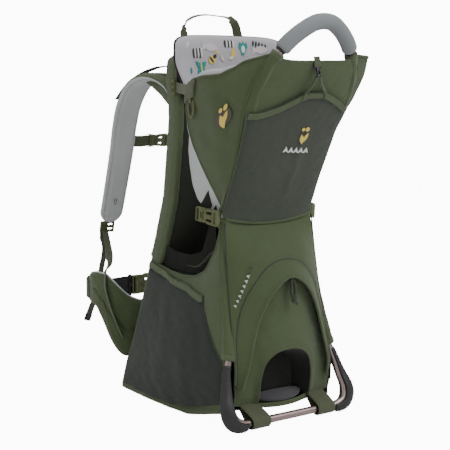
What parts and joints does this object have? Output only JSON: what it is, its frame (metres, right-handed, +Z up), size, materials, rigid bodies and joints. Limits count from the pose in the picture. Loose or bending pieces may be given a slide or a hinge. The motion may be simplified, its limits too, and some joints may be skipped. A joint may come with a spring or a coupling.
{
  "type": "baby carrier backpack",
  "caption": "Framed child-carrier backpack with an open cockpit, foam grip hoop, padded straps and hip belt, and a fold-out stand with moulded feet.",
  "frame": {"origin": "on the ground under the middle of the bounding box, on the plane of left-right symmetry", "axes": "+Z up, +Y towards the wearer's back, +X to the right seen from the rear of the carrier"},
  "size_m": [0.3386, 0.6234, 0.7312],
  "materials": {
    "frame_tube": "anodised, satin",
    "moulding": "moulded nylon, matt",
    "steel": "plated",
    "main_fabric": "woven ripstop nylon, coated",
    "pocket_fabric": "stretch woven",
    "face_fabric": "brushed knit over foam",
    "grip_foam": "closed-cell foam, matt",
    "olive_webbing": "woven polyester webbing",
    "black_webbing": "woven polyester webbing",
    "olive_clips": "moulded acetal, satin",
    "black_clips": "moulded acetal, satin"
  },
  "bodies": {
    "carrier": {"rear_hoop": "frame_tube", "foam_grip": "grip_foam", "back_frame": "frame_tube", "side_rail_right": "frame_tube", "side_rail_left": "frame_tube", "hinge_cheek_right": "moulding", "hinge_cheek_left": "moulding", "pivot_pin_right": "steel", "pivot_pin_left": "steel", "back_pad": "main_fabric", "head_shield": "face_fabric", "haul_loop": "olive_webbing", "seat_side_right": "main_fabric", "seat_side_left": "main_fabric", "rear_panel_upper": "main_fabric", "mesh_pocket": "pocket_fabric", "pocket_hook": "black_clips", "pocket_elastic": "olive_webbing", "side_wall_right": "pocket_fabric", "side_wall_left": "pocket_fabric", "base_panel": "main_fabric", "base_bumper": "moulding", "hip_belt": "main_fabric", "hip_webbing_right": "black_webbing", "hip_webbing_left": "black_webbing", "hip_buckle_socket": "black_clips", "shoulder_strap_right": "main_fabric", "shoulder_strap_left": "main_fabric", "load_lifter_right": "olive_webbing", "load_lifter_left": "olive_webbing", "ladder_lock_right": "olive_clips", "ladder_lock_left": "olive_clips", "adjuster_webbing_right": "olive_webbing", "adjuster_webbing_left": "olive_webbing", "side_strap_right": "olive_webbing", "side_strap_left": "olive_webbing", "waist_buckle_socket_right": "olive_clips", "waist_buckle_socket_left": "olive_clips"},
    "stand": {"stand_frame": "frame_tube", "stand_boot_right": "moulding", "stand_boot_left": "moulding", "boot_rivet_right": "steel", "boot_rivet_left": "steel", "hinge_fork_right": "moulding", "hinge_fork_left": "moulding", "rear_panel_lower": "main_fabric", "stand_loop_right": "olive_webbing", "stand_loop_left": "olive_webbing"},
    "zip_pull": {"zip_pull": "olive_webbing"},
    "seat": {"seat_saddle": "face_fabric", "child_harness": "black_webbing"},
    "sternum_strap": {"sternum_webbing_right": "olive_webbing", "sternum_buckle_socket": "olive_clips"},
    "sternum_plug": {"sternum_buckle_plug": "olive_clips", "sternum_webbing_left": "olive_webbing"},
    "hip_plug": {"hip_buckle_plug": "black_clips"},
    "waist_plug_right": {"waist_buckle_plug_right": "olive_clips"},
    "waist_plug_left": {"waist_buckle_plug_left": "olive_clips"},
    "ring_right": {"side_ring_right": "olive_clips"},
    "ring_left": {"side_ring_left": "olive_clips"}
  },
  "joints": [
    {"name": "stand_fold", "type": "hinge", "parent": "carrier", "child": "stand", "pos_m": [0, -0.13931, 0.37], "axis": [1, 0, 0], "range_deg": [0, 36], "deforming": ["side_wall_right", "side_wall_left", "base_panel"]},
    {"name": "zip_pull_swing", "type": "hinge", "parent": "stand", "child": "zip_pull", "pos_m": [0, -0.22091, 0.258], "axis": [1, 0, 0], "range_deg": [-80, 0]},
    {"name": "seat_height", "type": "slide", "parent": "carrier", "child": "seat", "axis": [0, 0, 1], "range_m": [0, 0.06]},
    {"name": "sternum_height", "type": "slide", "parent": "carrier", "child": "sternum_strap", "axis": [0, -0.2673, 0.9636], "range_m": [-0.03, 0.03]},
    {"name": "sternum_release", "type": "slide", "parent": "sternum_strap", "child": "sternum_plug", "axis": [-1, 0, 0], "range_m": [0, 0.026]},
    {"name": "hip_release", "type": "slide", "parent": "carrier", "child": "hip_plug", "axis": [-1, 0, 0], "range_m": [0, 0.036], "deforming": ["hip_webbing_left"]},
    {"name": "waist_release_right", "type": "slide", "parent": "carrier", "child": "waist_plug_right", "axis": [-0.0998, 0.995, 0], "range_m": [0, 0.025]},
    {"name": "waist_release_left", "type": "slide", "parent": "carrier", "child": "waist_plug_left", "axis": [0.0998, 0.995, 0], "range_m": [0, 0.025]},
    {"name": "ring_swing_right", "type": "hinge", "parent": "carrier", "child": "ring_right", "pos_m": [0.131, -0.09831, 0.574], "axis": [0, 1, 0], "range_deg": [-70, 0]},
    {"name": "ring_swing_left", "type": "hinge", "parent": "carrier", "child": "ring_left", "pos_m": [-0.131, -0.09831, 0.574], "axis": [0, 1, 0], "range_deg": [0, 70]}
  ]
}
